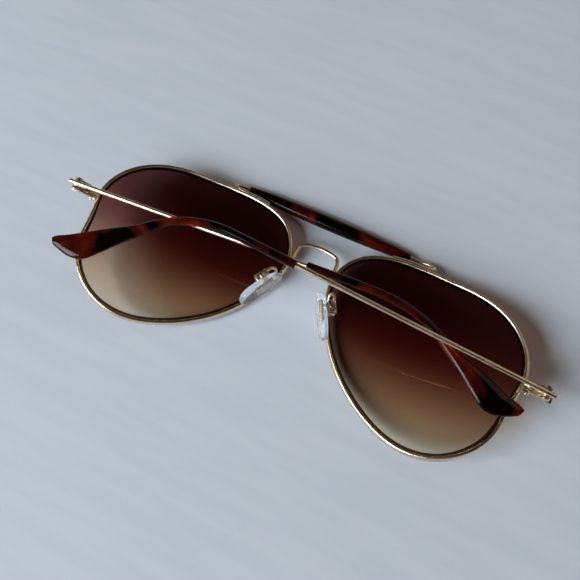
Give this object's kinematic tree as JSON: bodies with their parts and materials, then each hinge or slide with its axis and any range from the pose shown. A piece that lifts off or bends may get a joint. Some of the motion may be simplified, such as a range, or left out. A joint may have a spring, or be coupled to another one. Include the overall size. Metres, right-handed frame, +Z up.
{
  "type": "aviator sunglasses",
  "caption": "Folding wire-rim aviator sunglasses with a sleeved brow bar, tinted teardrop lenses, adjustable nose pads and sleeved temples, lying folded on their lens fronts.",
  "frame": {"origin": "on the table plane under the lens fronts, half way between the two lenses, at the height of the lens centres", "axes": "+X towards the wearer's right, +Y up the face towards the brow bar, +Z up from the table towards the wearer"},
  "size_m": [0.149, 0.0567, 0.0272],
  "materials": {
    "gold_metal": "polished light gold plate",
    "screw_steel": "polished steel",
    "lens": "brown gradient tint, darkest at the brow",
    "tortoiseshell": "polished tortoiseshell acetate",
    "silicone": "clear soft silicone"
  },
  "bodies": {
    "front": {"lens_right": "lens", "lens_left": "lens", "rim_right": "gold_metal", "rim_left": "gold_metal", "endpiece_right": "gold_metal", "endpiece_left": "gold_metal", "rim_lock_right": "gold_metal", "rim_lock_left": "gold_metal", "lock_screw_right": "screw_steel", "lock_screw_left": "screw_steel", "hinge_ears_right": "gold_metal", "hinge_ears_left": "gold_metal", "hinge_screw_right": "screw_steel", "hinge_screw_left": "screw_steel", "pad_arm_right": "gold_metal", "pad_arm_left": "gold_metal", "pad_box_right": "gold_metal", "pad_box_left": "gold_metal", "pad_screw_right": "screw_steel", "pad_screw_left": "screw_steel", "bridge_wire": "gold_metal", "brow_wire": "gold_metal", "brow_sleeve": "tortoiseshell"},
    "temple_right": {"temple_wire_right": "gold_metal", "temple_tip_right": "tortoiseshell", "temple_knuckle_right": "gold_metal"},
    "temple_left": {"temple_wire_left": "gold_metal", "temple_tip_left": "tortoiseshell", "temple_knuckle_left": "gold_metal"},
    "pad_right": {"nose_pad_right": "silicone", "pad_core_right": "gold_metal"},
    "pad_left": {"nose_pad_left": "silicone", "pad_core_left": "gold_metal"}
  },
  "joints": [
    {"name": "temple_right_hinge", "type": "hinge", "parent": "front", "child": "temple_right", "pos_m": [0.072, 0.00275, 0.0145], "axis": [0.0419, 0.9936, 0.1044], "range_deg": [0, 85.8]},
    {"name": "temple_left_hinge", "type": "hinge", "parent": "front", "child": "temple_left", "pos_m": [-0.072, 0.00275, 0.0145], "axis": [0.0419, -0.9936, -0.1044], "range_deg": [0, 90.8]},
    {"name": "pad_right_rock", "type": "hinge", "parent": "front", "child": "pad_right", "pos_m": [0.0109, 0.002, 0.0077], "axis": [0.1519, 0.0842, 0.9848], "range_deg": [-12, 12]},
    {"name": "pad_left_rock", "type": "hinge", "parent": "front", "child": "pad_left", "pos_m": [-0.0109, 0.002, 0.0077], "axis": [0.1519, -0.0842, -0.9848], "range_deg": [-12, 12]}
  ],
  "couplings": [
    {"joint": "temple_left_hinge", "follows": "temple_right_hinge", "ratio": 1.0583}
  ]
}
